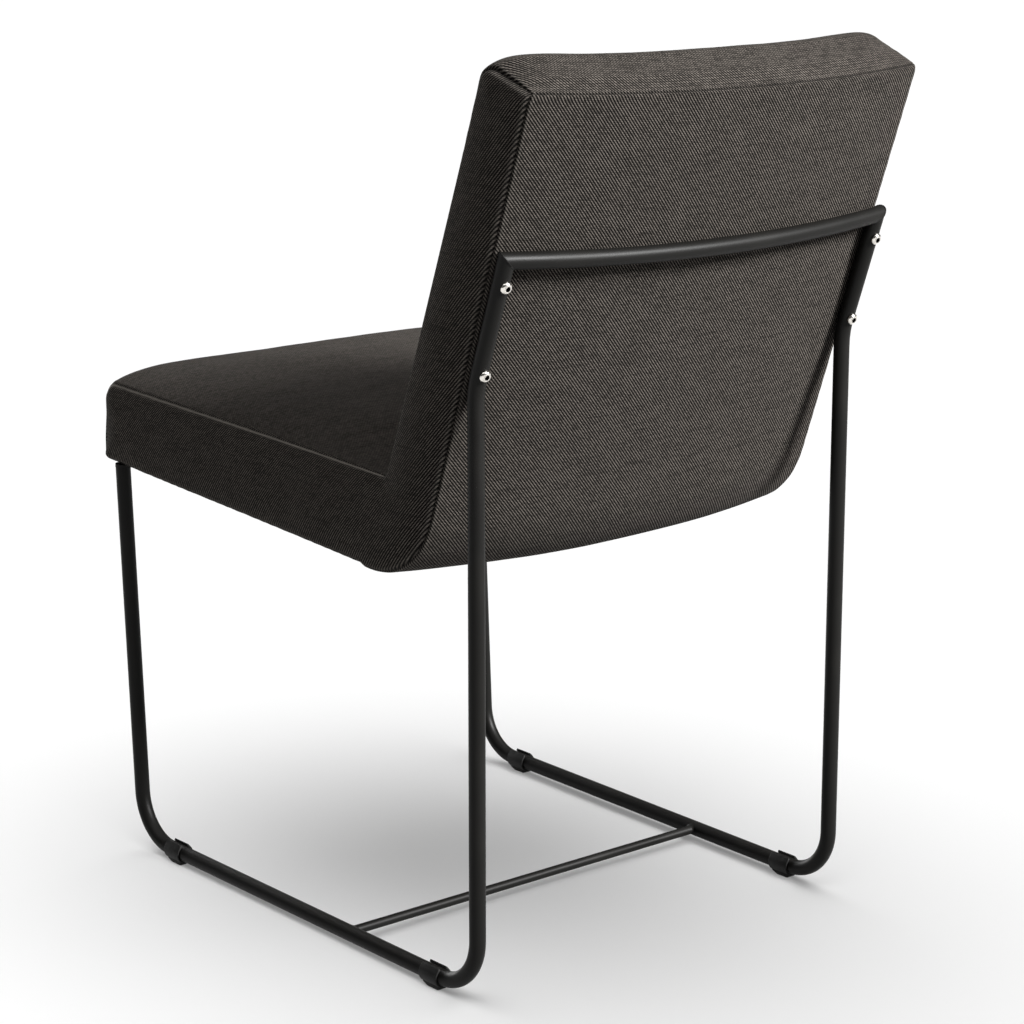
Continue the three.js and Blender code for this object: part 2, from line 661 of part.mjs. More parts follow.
// The origin lies on the floor, under the middle of the chair's greatest depth.
const box = new THREE.Box3().setFromObject(chair);
chair.position.y = -(box.min.y + box.max.y) / 2;

export default chair;
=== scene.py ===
"""Dining chair: the looks of a one-piece upholstered seat and back on a sled frame of bent steel tube.

Metres, +Z up from the floor, the chair's front towards -Y, the sitter's left towards +X.
"""

import math
from itertools import chain

import bpy
import numpy as np
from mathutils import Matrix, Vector


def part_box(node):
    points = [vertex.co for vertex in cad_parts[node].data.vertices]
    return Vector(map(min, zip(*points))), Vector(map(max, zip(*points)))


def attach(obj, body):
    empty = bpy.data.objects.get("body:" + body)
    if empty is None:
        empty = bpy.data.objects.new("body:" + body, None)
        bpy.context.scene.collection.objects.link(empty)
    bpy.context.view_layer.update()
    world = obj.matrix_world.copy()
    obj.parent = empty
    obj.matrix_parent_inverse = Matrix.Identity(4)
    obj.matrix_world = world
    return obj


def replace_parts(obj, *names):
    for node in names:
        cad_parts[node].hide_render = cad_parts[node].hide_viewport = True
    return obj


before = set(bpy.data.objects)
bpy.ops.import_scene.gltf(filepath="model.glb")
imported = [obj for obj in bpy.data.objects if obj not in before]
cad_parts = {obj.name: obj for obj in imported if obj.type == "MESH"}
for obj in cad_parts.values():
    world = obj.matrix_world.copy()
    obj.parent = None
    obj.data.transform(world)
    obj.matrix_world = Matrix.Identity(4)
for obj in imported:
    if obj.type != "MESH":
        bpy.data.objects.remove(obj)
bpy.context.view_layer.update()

# ---- dimensions of the frame
TUBE_R = 0.0075
RAIL_Z = 0.0115
LEG_Y = 0.267  # from the middle of the base to each leg
HALF_TRACK = 0.2225  # from the middle to each floor rail, halfway along it
TOE_IN = 0.010  # how much closer the rails are at the rear legs than at the front ones
FLOOR_BEND_R = 0.050
FRONT_LEG_LEAN = math.radians(2.9)
RECLINE = math.radians(19.3)
KNEE_Z = 0.557
KNEE_BEND_R = 0.080
RAIL_CORNER_Z = 0.670
TOP_RAIL_BOW = 0.0205
STRETCHER_R = 0.0045
STRETCHER_Y = 0.077
SCREW_HEIGHTS = {"lower": 0.572, "upper": 0.650}
PLATE_SCREW_REACHES = {"outer": 0.020, "inner": 0.044}
PLATE_THICKNESS = 0.003
SCREW_TIP = 0.0123  # how far a screw reaches past the face that it clamps
HEAD_LIFT = 0.0001  # between a screw's head and the tube
SLEEVE_CLEARANCE = 0.00015
SLEEVE_WALL = 0.0020  # from the tube out
SLEEVE_LENGTH = 0.025
SLEEVE_LIP = 0.0009
SLOT_TURN = math.radians(24)  # from the slot's middle to each lip
FOOT_WIDTH = 0.0116
FOOT_LENGTH = 0.016
GAP = 0.0003
TUBE_SIDES = 44
WELD_R = 0.0007
WELD_SINK = 0.0001  # how deep the bead's middle lies in the tube
FILLET_R = 0.0032  # of the welds at the stretcher's ends
FILLET_SINK = 0.0004

# ---- dimensions of the upholstery
HALF = 0.228  # half the width
FRONT_Y = -0.310
FRONT_FULLNESS = 0.0035  # how far the padding stands in front of that
UNDERSIDE_Z = 0.399
UNDERSIDE_FALL = math.radians(3.3)
SEAT_SEAM_Z = 0.479
SEAT_SEAM_FALL = math.radians(2)
BACK_TOP_Z = 0.810
BACK_TOP_THICKNESS = 0.064
BACK_TAPER = math.radians(1.1)
BACK_BOW = 0.019
BOW_TURN = math.radians(15)  # how far round the rear corner the bow has come in full
BOW_RUN = 0.17  # and how far up the back's face it takes
POST_X = 0.220  # where the posts bear on the bowed back
FOOT_R = 0.006  # roundness of the side view's corners, from the front's foot rearwards
REAR_CORNER_R = 0.093
TOP_REAR_R = 0.004
TOP_FRONT_R = 0.015
CREASE_R = 0.006
NOSE_R = 0.018
EDGE_R = 0.0045  # roundness of the upholstery along its side seams
FRONT_EDGE_R = 0.012  # and of the seat's front corners, where the cloth turns with no seam
SEAM_TURN = math.radians(50)  # how far round that edge the seam lies
SIDE_BULGE = 0.006
BULGE_RUN = 0.034  # from the seam to where the bulge is full
TOP_CLOTH_STRETCH = 0.4  # how far the weave is pulled open over the back's top
TOP_DRAW = 0.0035  # how much the back's sides are drawn in at its top
TOP_DRAW_DEPTH = 0.011
SEAT_FLARE = 0.002  # how much wider the seat's front is on each side
LINING_HEMS = (0.034, 0.118)  # the cover's hems in front of the lining and behind it
LINING_INSET = 0.012  # and beside it
LINING_THICKNESS = 0.0006
HEM_THICKNESS = 0.0022  # the outside back's cover, turned under the seat over the seat's own
HEM_REACH = 0.014

glide_boxes = [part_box(f"glide_{place}_left") for place in ("front", "rear")]
BASE_Y = sum(c.y for b in glide_boxes for c in b) / 4

UP = np.array([math.sin(RECLINE), math.cos(RECLINE)])
REARWARDS = np.array([math.cos(RECLINE), -math.sin(RECLINE)])
UNDERSIDE = np.array([math.cos(UNDERSIDE_FALL), -math.sin(UNDERSIDE_FALL)])
INTO_SEAT = np.array([math.sin(UNDERSIDE_FALL), math.cos(UNDERSIDE_FALL)])


def ease(t):
    """An ease from 0 at t = 0 to 1 at t = 1, flat at both ends."""
    t = np.clip(t, 0, 1)
    return t * t * (3 - 2 * t)


def post_at(z):
    """The rear post's axis in the side view at a height: above the knee it leans back by the recline."""
    return np.array([LEG_Y + (z - KNEE_Z) * math.tan(RECLINE), z])


def half_track(y):
    """From the middle to a side frame's plane at a place along the base: the two planes close in evenly."""
    return HALF_TRACK - y * TOE_IN / (2 * LEG_Y) / 2


def in_frame(sign, yz):
    """A side-view point set into the plane of one side frame."""
    return np.array([sign * half_track(yz[0]), yz[0] + BASE_Y, yz[1]])


def across(yz, x=0.0):
    """A side-view point at a place across the width."""
    return np.array([x, yz[0] + BASE_Y, yz[1]])


# ---- meshes
def cross2(a, b):
    """The cross product of two vectors in a plane."""
    return a[0] * b[1] - a[1] * b[0]


def unit(v):
    """A vector's direction: the vector over its length."""
    return v / np.linalg.norm(v)


def make_piece(name, points, faces, material, slot, uv=None, attributes=None, flat_angle=None):
    """A mesh piece of the object from its points, quads and caps, riding on the frame."""
    mesh = bpy.data.meshes.new(name)
    quads, *caps = faces
    corners = np.reshape(quads, (-1, 4)).tolist() + [cap.tolist() for cap in chain(*caps)]
    mesh.from_pydata(np.asarray(points).tolist(), [], corners)
    mesh.polygons.foreach_set("use_smooth", np.ones(len(corners), bool))
    if uv is not None:
        mesh.uv_layers.new(name="UVMap").data.foreach_set("uv", np.asarray(uv, np.float32).ravel())
    for key, values in (attributes or {}).items():
        mesh.attributes.new(key, "FLOAT", "POINT").data.foreach_set("value", np.asarray(values, np.float32))
    if flat_angle is not None:
        mesh.set_sharp_from_angle(angle=math.radians(flat_angle))
    piece = bpy.data.objects.new(name, mesh)
    bpy.context.scene.collection.objects.link(piece)
    mesh.materials.append(material)
    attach(piece, "root")
    return piece


def round_circle(count):
    """Evenly spaced angles round a circle."""
    return np.linspace(0, 2 * math.pi, count, endpoint=False)


def cells(grid):
    """The four corners of each cell of a grid, in order round the cell."""
    return np.stack([grid[:-1, :-1], grid[:-1, 1:], grid[1:, 1:], grid[1:, :-1]], 2)


def loft(rings, closed=False):
    """Points and faces of a tube: quads from each ring to the next, and caps unless the tube is closed."""
    rings = np.asarray(rings)
    count, sides = rings.shape[:2]
    index = np.arange(count * sides).reshape(count, sides)
    if closed:
        index = np.vstack([index, index[:1]])
    turned = np.roll(index, -1, axis=1)
    quads = np.stack([index[:-1], turned[:-1], turned[1:], index[1:]], -1)
    caps = [] if closed else [index[0][::-1], index[-1]]
    return rings.reshape(-1, 3), (quads, caps)


def revolve(profile, at, direction, sides, radius_at=None):
    """A profile of (radius, distance along the direction) turned about the direction through a point.

    radius_at, if given, makes a ring's radii from its number, its profile radius and the angles.
    """
    direction = unit(direction)
    side = unit(np.cross(direction, [1.0, 0.2, 0.1]))
    other = np.cross(direction, side)
    angles = round_circle(sides)
    rings = []
    for k, (radius, distance) in enumerate(profile):
        radii = radius_at(k, radius, angles) if radius_at else np.full(sides, radius)
        flat = np.outer(radii * np.cos(angles), side) + np.outer(radii * np.sin(angles), other)
        rings.append(at + distance * direction + flat)
    return loft(rings)


def rounded(corners, closed, step=math.radians(3)):
    """A run of (corner, radius) drawn with arcs: its points, and where among them each arc starts and ends."""
    points, spans = [], []
    n = len(corners)
    for i, (at, radius) in enumerate(corners):
        at = np.array(at, float)
        if not radius or (not closed and i in (0, n - 1)):
            spans.append((len(points), len(points)))
            points.append(at)
            continue
        before = unit(at - corners[i - 1][0])
        after = unit(np.array(corners[(i + 1) % n][0]) - at)
        turn = math.atan2(cross2(before, after), float(before @ after))
        start = at - before * radius * math.tan(abs(turn) / 2)
        centre = start + np.array([-before[1], before[0]]) * radius * math.copysign(1, turn)
        steps = max(2, math.ceil(abs(turn) / step))
        spans.append((len(points), len(points) + steps))
        for k in range(steps + 1):
            c, s = math.cos(turn * k / steps), math.sin(turn * k / steps)
            arm = start - centre
            points.append(centre + np.array([arm[0] * c - arm[1] * s, arm[0] * s + arm[1] * c]))
    return np.array(points), spans


def sweep(path, radius, ends=(None, None)):
    """A round tube along a path, its circle carried along without twist.

    An end may be cut by a plane (point, normal): the end ring slides along the tube to meet it.
    """
    path = np.asarray(path, float)
    tangents = np.gradient(path, axis=0)
    tangents[0], tangents[-1] = path[1] - path[0], path[-1] - path[-2]
    tangents /= np.linalg.norm(tangents, axis=1)[:, None]
    angles = round_circle(TUBE_SIDES)
    side = unit(np.cross(tangents[0], [0.3, 0.5, 0.81]))
    rings = []
    for at, tangent in zip(path, tangents):
        side = unit(side - tangent * (side @ tangent))
        other = np.cross(tangent, side)
        rings.append(at + radius * (np.outer(np.cos(angles), side) + np.outer(np.sin(angles), other)))
    rings = np.array(rings)
    for end, ring, tangent in ((ends[0], 0, tangents[0]), (ends[1], -1, tangents[-1])):
        if end is not None:
            point, normal = end
            rings[ring] += np.outer((point - rings[ring]) @ normal / (tangent @ normal), tangent)
    return loft(rings)


def resampled(path, spacing):
    """A path with its long straight runs divided so that no step is longer than a spacing."""
    out = [path[0]]
    for a, b in zip(path[:-1], path[1:]):
        steps = max(1, math.ceil(np.linalg.norm(b - a) / spacing))
        out += [a + (b - a) * k / steps for k in range(1, steps + 1)]
    return np.array(out)


# ---- materials
class Shader:
    """A procedural material: a Principled surface whose inputs are worked out by nodes."""

    def __init__(self, name, colour, roughness, **settings):
        self.material = bpy.data.materials.new(name)
        self.material.use_nodes = True
        self.nodes = self.material.node_tree.nodes
        self.links = self.material.node_tree.links
        self.surface = self.nodes["Principled BSDF"]
        self.surface.inputs["Base Color"].default_value = (*colour, 1)
        self.surface.inputs["Roughness"].default_value = roughness
        for key, value in settings.items():
            self.surface.inputs[key.replace("_", " ")].default_value = value

    def feed(self, socket, value):
        """Link another node's output to a socket, or set a plain value on it."""
        if isinstance(value, bpy.types.NodeSocket):
            self.links.new(value, socket)
        elif value is not None:
            socket.default_value = value

    def set(self, key, value):
        """Link or set one of the surface's inputs."""
        self.feed(self.surface.inputs[key], value)

    def math(self, operation, *values):
        """One arithmetic step on values or node outputs."""
        node = self.nodes.new("ShaderNodeMath")
        node.operation = operation
        for socket, value in zip(node.inputs, values):
            self.feed(socket, value)
        return node.outputs[0]

    def mix(self, share, a, b):
        """A colour between a, at share 0, and b, at share 1."""
        node = self.nodes.new("ShaderNodeMix")
        node.data_type = "RGBA"
        self.feed(node.inputs[0], share)
        self.feed(node.inputs[6], a if isinstance(a, bpy.types.NodeSocket) else (*a, 1))
        self.feed(node.inputs[7], b if isinstance(b, bpy.types.NodeSocket) else (*b, 1))
        return node.outputs[2]

    def spread(self, value, low, high, to_low=0.0, to_high=1.0):
        """A value's range from low to high stretched in proportion to another range, and held at its ends."""
        node = self.nodes.new("ShaderNodeMapRange")
        self.feed(node.inputs[0], value)
        for socket, number in zip(node.inputs[1:5], (low, high, to_low, to_high)):
            socket.default_value = number
        return node.outputs[0]

    def coordinates(self, kind="Object"):
        """Where a point is on its piece: in the piece's own metres, or in its UV layout."""
        return self.nodes.new("ShaderNodeTexCoord").outputs[kind]

    def attribute(self, name):
        """A value that the piece's mesh carries at each point."""
        node = self.nodes.new("ShaderNodeAttribute")
        node.attribute_name = name
        return node.outputs["Fac"]

    def scaled(self, vector, scale):
        """Coordinates multiplied axis by axis."""
        node = self.nodes.new("ShaderNodeMapping")
        self.feed(node.inputs["Vector"], vector)
        node.inputs["Scale"].default_value = scale
        return node.outputs[0]

    def noise(self, vector, scale, detail=2.0, roughness=0.5):
        """Smooth fractal noise from 0 to 1."""
        node = self.nodes.new("ShaderNodeTexNoise")
        self.feed(node.inputs["Vector"], vector)
        node.inputs["Scale"].default_value = scale
        node.inputs["Detail"].default_value = detail
        node.inputs["Roughness"].default_value = roughness
        return node.outputs[0]

    def wave(self, steps):
        """A cosine wave from 0 to 1 that peaks in the middle of each whole step."""
        turn = self.math("MULTIPLY", self.math("SUBTRACT", self.math("FRACT", steps), 0.5), 2 * math.pi)
        return self.math("MULTIPLY_ADD", self.math("COSINE", turn), 0.5, 0.5)

    def by_cell(self, a, b):
        """A random value for each whole step of two inputs."""
        cell = self.nodes.new("ShaderNodeCombineXYZ")
        self.feed(cell.inputs[0], self.math("FLOOR", a))
        self.feed(cell.inputs[1], self.math("FLOOR", b))
        node = self.nodes.new("ShaderNodeTexWhiteNoise")
        node.noise_dimensions = "2D"
        self.feed(node.inputs["Vector"], cell.outputs[0])
        return node.outputs["Value"]

    def bump(self, height, strength, distance):
        """Tilt the surface's normal as a relief of this height would."""
        node = self.nodes.new("ShaderNodeBump")
        node.inputs["Strength"].default_value = strength
        node.inputs["Distance"].default_value = distance
        self.feed(node.inputs["Height"], height)
        self.set("Normal", node.outputs[0])


ROW_PITCH = 0.00166  # of the cloth's rows of floats
ROW_SHIFT = -0.50  # how far each row is moved along, in floats
FLOAT_PITCH = 0.00317
SLUB_DRIFT = 0.0003  # how far thick and thin yarn moves the rows
DOT_PITCH = 0.0024  # of the lining's pressed dots


def fabric():
    """A two-tone cloth: rows of light floats on a near-black ground, each row moved along from the one below.

    A float's height is a cosine ridge across it times a shallower cosine along it, and its light follows the
    height. Streaks, clouds and single floats vary by noise. Seams darken or lighten the cloth.
    """
    m = Shader("two_tone_cloth", (0.1, 0.1, 0.1), 0.95)
    m.surface.inputs["Sheen Weight"].default_value = 0.02
    m.surface.inputs["Sheen Roughness"].default_value = 0.5
    m.surface.inputs["Sheen Tint"].default_value = (0.75, 0.7, 0.64, 1)
    m.surface.inputs["Specular IOR Level"].default_value = 0.04
    uv = m.nodes.new("ShaderNodeSeparateXYZ")
    m.feed(uv.inputs[0], m.coordinates("UV"))
    slub = m.noise(m.coordinates("UV"), 260, 2)
    row = m.math("DIVIDE", m.math("ADD", uv.outputs[1], m.math("MULTIPLY", slub, SLUB_DRIFT)), ROW_PITCH)
    moved = m.math("MULTIPLY", row, ROW_SHIFT)
    column = m.math("ADD", m.math("DIVIDE", uv.outputs[0], FLOAT_PITCH), moved)
    height = m.math("MULTIPLY", m.wave(column), m.math("MULTIPLY_ADD", m.wave(row), 0.42, 0.58))
    streaks = m.noise(m.scaled(m.coordinates("UV"), (22, 420, 1)), 1.0, 3, 0.6)
    clouds = m.noise(m.scaled(m.coordinates("UV"), (30, 60, 1)), 1.0, 3, 0.6)
    light = m.spread(height, 0.36, 0.74)
    light = m.math("MULTIPLY", light, m.spread(m.by_cell(column, row), 0.0, 1.0, 0.62, 1.34))
    light = m.math("MULTIPLY", light, m.spread(streaks, 0.30, 0.52, 0.55, 1.0))
    light = m.math("MULTIPLY", light, m.spread(clouds, 0.25, 0.75, 0.82, 1.12))
    colour = m.mix(light, (0.0014, 0.0013, 0.0012), (0.077, 0.0676, 0.0594))
    colour = m.mix(m.attribute("seam_shade"), colour, (0.0016, 0.0015, 0.0014))
    stitches = m.math("MULTIPLY", m.attribute("seam_stitches"), m.spread(height, 0.1, 0.5, 0.2, 1.0))
    colour = m.mix(stitches, colour, (0.10, 0.092, 0.082))
    colour = m.mix(m.attribute("seam_light"), colour, (0.18, 0.166, 0.147))
    m.set("Base Color", colour)
    m.bump(height, 0.5, 0.0005)
    return m.material


def powder_coat():
    """Satin black powder coat: a fine orange peel, slightly polished where hands and feet rub it."""
    m = Shader("satin_black_powder_coat", (0.005, 0.0048, 0.0044), 0.45)
    m.surface.inputs["Specular IOR Level"].default_value = 0.11
    peel = m.noise(m.coordinates(), 900, 2)
    wear = m.noise(m.coordinates(), 9, 3)
    m.set("Roughness", m.spread(wear, 0.3, 0.7, 0.40, 0.50))
    m.set("Base Color", m.mix(m.spread(wear, 0.55, 0.8), (0.0045, 0.0043, 0.0039), (0.0075, 0.0071, 0.0062)))
    m.bump(peel, 0.25, 0.0003)
    return m.material


def nickel():
    """Bright nickel plate with faint turning marks, and painted shade that darkens the inside of each screw's
    hexagon socket.
    """
    m = Shader("nickel_plate", (0.80, 0.77, 0.72), 0.2, Metallic=1.0)
    m.set("Roughness", m.spread(m.noise(m.coordinates(), 700, 2), 0.3, 0.7, 0.14, 0.27))
    # painted shade: the socket attribute mixes the colour towards near black inside the socket's recess
    m.set("Base Color", m.mix(m.attribute("socket"), (0.80, 0.77, 0.72), (0.02, 0.019, 0.018)))
    m.bump(m.noise(m.coordinates(), 1500, 1), 0.1, 0.0001)
    return m.material


def zinc():
    """Dull zinc plate with mottling."""
    m = Shader("zinc_plate", (0.62, 0.64, 0.66), 0.42, Metallic=1.0)
    m.set("Roughness", m.spread(m.noise(m.coordinates(), 400, 3), 0.3, 0.7, 0.34, 0.5))
    return m.material


def black_plastic():
    """Moulded black plastic with a fine matt texture, greyed by scuffs near the floor."""
    m = Shader("moulded_black_plastic", (0.006, 0.006, 0.006), 0.55)
    m.surface.inputs["Specular IOR Level"].default_value = 0.2
    scuff = m.math("MULTIPLY", m.spread(m.noise(m.coordinates(), 160, 3), 0.5, 0.75), 0.5)
    m.set("Base Color", m.mix(scuff, (0.006, 0.006, 0.0058), (0.022, 0.022, 0.021)))
    m.bump(m.noise(m.coordinates(), 2500, 1), 0.2, 0.0002)
    return m.material


def plywood():
    """Moulded beech plywood: thin layers through its thickness and long pores along its faces."""
    m = Shader("beech_plywood", (0.66, 0.5, 0.33), 0.62)
    grain = m.noise(m.scaled(m.coordinates(), (3, 160, 160)), 3.0, 4, 0.6)
    m.set("Base Color", m.mix(m.spread(grain, 0.3, 0.7), (0.55, 0.39, 0.24), (0.72, 0.56, 0.38)))
    m.bump(grain, 0.2, 0.0003)
    return m.material


def lining():
    """Black spun-bonded lining with its grid of small pressed dots."""
    m = Shader("spun_bonded_lining", (0.014, 0.014, 0.015), 0.8)
    uv = m.nodes.new("ShaderNodeSeparateXYZ")
    m.feed(uv.inputs[0], m.coordinates())
    waves = [m.math("COSINE", m.math("MULTIPLY", uv.outputs[k], 2 * math.pi / DOT_PITCH)) for k in (0, 1)]
    dots = m.spread(m.math("MULTIPLY", *waves), 0.3, 0.9)
    fibres = m.noise(m.coordinates(), 1800, 3, 0.7)
    m.set("Base Color", m.mix(m.spread(fibres, 0.3, 0.7), (0.010, 0.010, 0.011), (0.024, 0.024, 0.025)))
    m.bump(m.math("SUBTRACT", fibres, m.math("MULTIPLY", dots, 0.6)), 0.4, 0.0003)
    return m.material


CLOTH, COAT, NICKEL, ZINC = fabric(), powder_coat(), nickel(), zinc()
PLASTIC, PLYWOOD, LINING = black_plastic(), plywood(), lining()

# ---- the frame
SIDES = {"left": 1, "right": -1}


def under_seat(distance):
    """A point of the seat's underside in the side view, this far behind its front."""
    return np.array([FRONT_Y, UNDERSIDE_Z]) + UNDERSIDE * distance


def front_leg_at(z):
    """The front leg's axis in the side view at a height: it leans forwards from the floor rail."""
    return np.array([-LEG_Y - (z - RAIL_Z) * math.tan(FRONT_LEG_LEAN), z])


LEG_TOP = under_seat((front_leg_at(UNDERSIDE_Z)[0] - FRONT_Y) / UNDERSIDE[0])


def mitre(sign):
    """Where a post meets the top rail: the point, the rail's direction there and the mitre plane's normal."""
    at = in_frame(sign, post_at(RAIL_CORNER_Z))
    turn = 2 * math.atan2(2 * TOP_RAIL_BOW, 2 * at[0] * sign)
    rail = np.array([-sign * math.cos(turn), *(REARWARDS * math.sin(turn))])
    normal = unit(np.array([0, *UP]) + rail)
    return at, rail, normal


def weld_bead(name, line, radius):
    """A closed bead of weld along a closed line: a circle whose size rises and falls in even ripples."""
    ripple_count, ripple_share, sides = 26, 0.12, 10
    ahead = np.roll(line, -1, axis=0) - np.roll(line, 1, axis=0)
    ahead /= np.linalg.norm(ahead, axis=1)[:, None]
    out = line - line.mean(0)
    out -= ahead * np.sum(out * ahead, 1)[:, None]
    out /= np.linalg.norm(out, axis=1)[:, None]
    third = np.cross(ahead, out)
    angles = round_circle(sides)
    phase = np.arange(len(line)) * 2 * math.pi * ripple_count / len(line)
    size = radius * (1 + ripple_share * np.sin(phase))
    ring = np.cos(angles)[None, :, None] * out[:, None] + np.sin(angles)[None, :, None] * third[:, None]
    points, faces = loft(line[:, None] + ring * size[:, None, None], closed=True)
    make_piece(name, points, faces, COAT, "powder_coated_steel")


def side_frame(name, sign):
    """One side of the sled: a tube down the front leg, back along the floor and up the rear leg and post.

    Its front end is cut just under the seat, in line with the underside, and its rear end on the mitre plane.
    """
    past_the_cut = UNDERSIDE_Z + 0.051
    run = [
        (front_leg_at(past_the_cut), 0),
        (front_leg_at(RAIL_Z), FLOOR_BEND_R),
        ((LEG_Y, RAIL_Z), FLOOR_BEND_R),
        ((LEG_Y, KNEE_Z), KNEE_BEND_R),
        (post_at(RAIL_CORNER_Z), 0),
    ]
    path = np.array([in_frame(sign, p) for p in rounded(run, False)[0]])
    top = across(LEG_TOP - INTO_SEAT * (PLATE_THICKNESS + GAP))
    at, _, normal = mitre(sign)
    cut = np.array([0, *INTO_SEAT])
    path[0] = path[1] + (path[0] - path[1]) * ((top - path[1]) @ cut) / ((path[0] - path[1]) @ cut)
    points, faces = sweep(resampled(path, 0.03), TUBE_R, ((top, cut), (at, normal)))
    piece = make_piece(f"{name}_side_tube", points, faces, COAT, "powder_coated_steel", flat_angle=50)
    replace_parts(piece, f"{name}_side_frame")


def top_rail():
    """The rail across the back: an arc through both mitres, as high as its bow, and a weld on each mitre."""
    half = mitre(1)[0][0]
    radius = (half**2 + TOP_RAIL_BOW**2) / (2 * TOP_RAIL_BOW)
    reach = math.asin(half / radius)
    angles = reach * np.linspace(1, -1, 49)
    behind = TOP_RAIL_BOW - radius * (1 - np.cos(angles))
    corner = post_at(RAIL_CORNER_Z)
    path = np.array([across(corner + REARWARDS * b, radius * math.sin(a)) for a, b in zip(angles, behind)])
    ends = [(mitre(sign)[0], mitre(sign)[2]) for sign in (1, -1)]
    points, faces = sweep(path, TUBE_R, ends)
    piece = make_piece("top_rail_tube", points, faces, COAT, "powder_coated_steel", flat_angle=50)
    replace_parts(piece, "top_back_rail")
    for side, sign in SIDES.items():
        at, rail, normal = mitre(sign)
        angles = round_circle(72)
        first = unit(np.cross(rail, [0, *UP]))
        second = np.cross(rail, first)
        ring = np.outer(np.cos(angles), first) + np.outer(np.sin(angles), second)
        ring = at + (TUBE_R - WELD_SINK) * ring
        ring = ring + np.outer((at - ring) @ normal / (rail @ normal), rail)
        weld_bead(f"rail_weld_{side}", ring, WELD_R)


def stretcher():
    """The rod between the floor rails. Its ends flare into weld fillets that meet the rails' round sides.

    A fillet is a quarter circle of rings that narrow away from the rail, each fitted to its round side.
    """
    angles = round_circle(32)
    turn = np.linspace(0, math.pi / 2, 8)
    rings = []
    for sign in (1, -1):
        part = []
        for wider, off in zip(FILLET_R * (1 - np.sin(turn)), FILLET_R * (1 - np.cos(turn))):
            radius = STRETCHER_R + wider
            up = np.clip(radius * np.sin(angles), -TUBE_R * 0.97, TUBE_R * 0.97)
            face = half_track(STRETCHER_Y) - np.sqrt(TUBE_R**2 - up**2) + FILLET_SINK
            y = BASE_Y + STRETCHER_Y + radius * np.cos(angles)
            part.append(np.stack([sign * (face - off), y, RAIL_Z + up], -1))
        rings += part if sign == 1 else part[::-1]
    points, (quads, caps) = loft(rings)
    outwards = (quads[..., ::-1], [cap[::-1] for cap in caps])
    piece = make_piece("stretcher_rod", points, outwards, COAT, "powder_coated_steel", flat_angle=60)
    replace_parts(piece, "floor_stretcher")


def screw(name, at, into, bearing, tip):
    """A button-head screw: a domed head with a hexagon socket on a plain shank, measured along its way in.

    The dome's radius follows a power of a sine and its height a cosine. The socket's rings are hexagons: the
    radius is the flat's distance over the cosine of the turn from its middle.
    """
    head, shank, height = 0.0055, 0.003, 0.0033
    top = -bearing - height
    socket = 0.0022 / math.cos(math.pi / 6)
    profile = [
        (0.0001, top + 0.0026),
        (socket, top + 0.0025),
        (socket, top + 0.0003),
        (socket * 1.12, top + 0.00005),
        (socket * 1.35, top),
        (head * 0.60, top + 0.00012),
    ]
    hexagon_rings = 4
    for a in np.radians(np.linspace(25, 90, 9)):
        profile.append((head * math.sin(a) ** 0.62, top + height * 0.93 * (1 - math.cos(a))))
    profile += [(head, -bearing - 0.0001), (head * 0.97, -bearing), (shank, -bearing), (shank, tip)]

    def radius_at(k, radius, angles):
        if k >= hexagon_rings:
            return np.full(len(angles), radius)
        return radius * math.cos(math.pi / 6) / np.cos((angles + math.pi / 6) % (math.pi / 3) - math.pi / 6)

    sides = 60
    points, faces = revolve(profile, at, into, sides, radius_at)
    # painted shade on the socket's bottom and walls, full at its bottom and 0.8 near its mouth
    painted_socket_shade = {"socket": np.repeat([1.0, 1.0, 0.8] + [0.0] * (len(profile) - 3), sides)}
    looks = {"attributes": painted_socket_shade, "flat_angle": 35}
    piece = make_piece(f"{name}_piece", points, faces, NICKEL, "nickel_plated_steel", **looks)
    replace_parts(piece, name)


def rounded_box_ring(low, high, radius):
    """A rectangle with rounded corners, as (a, b) points in order: a quarter circle at each corner."""
    a0, b0 = low[0] + radius, low[1] + radius
    a1, b1 = high[0] - radius, high[1] - radius
    out = []
    for quarter, (a, b) in enumerate([(a1, b1), (a0, b1), (a0, b0), (a1, b0)]):
        for angle in (quarter + np.linspace(0, 1, 6)) * math.pi / 2:
            out.append((a + radius * math.cos(angle), b + radius * math.sin(angle)))
    return np.array(out)


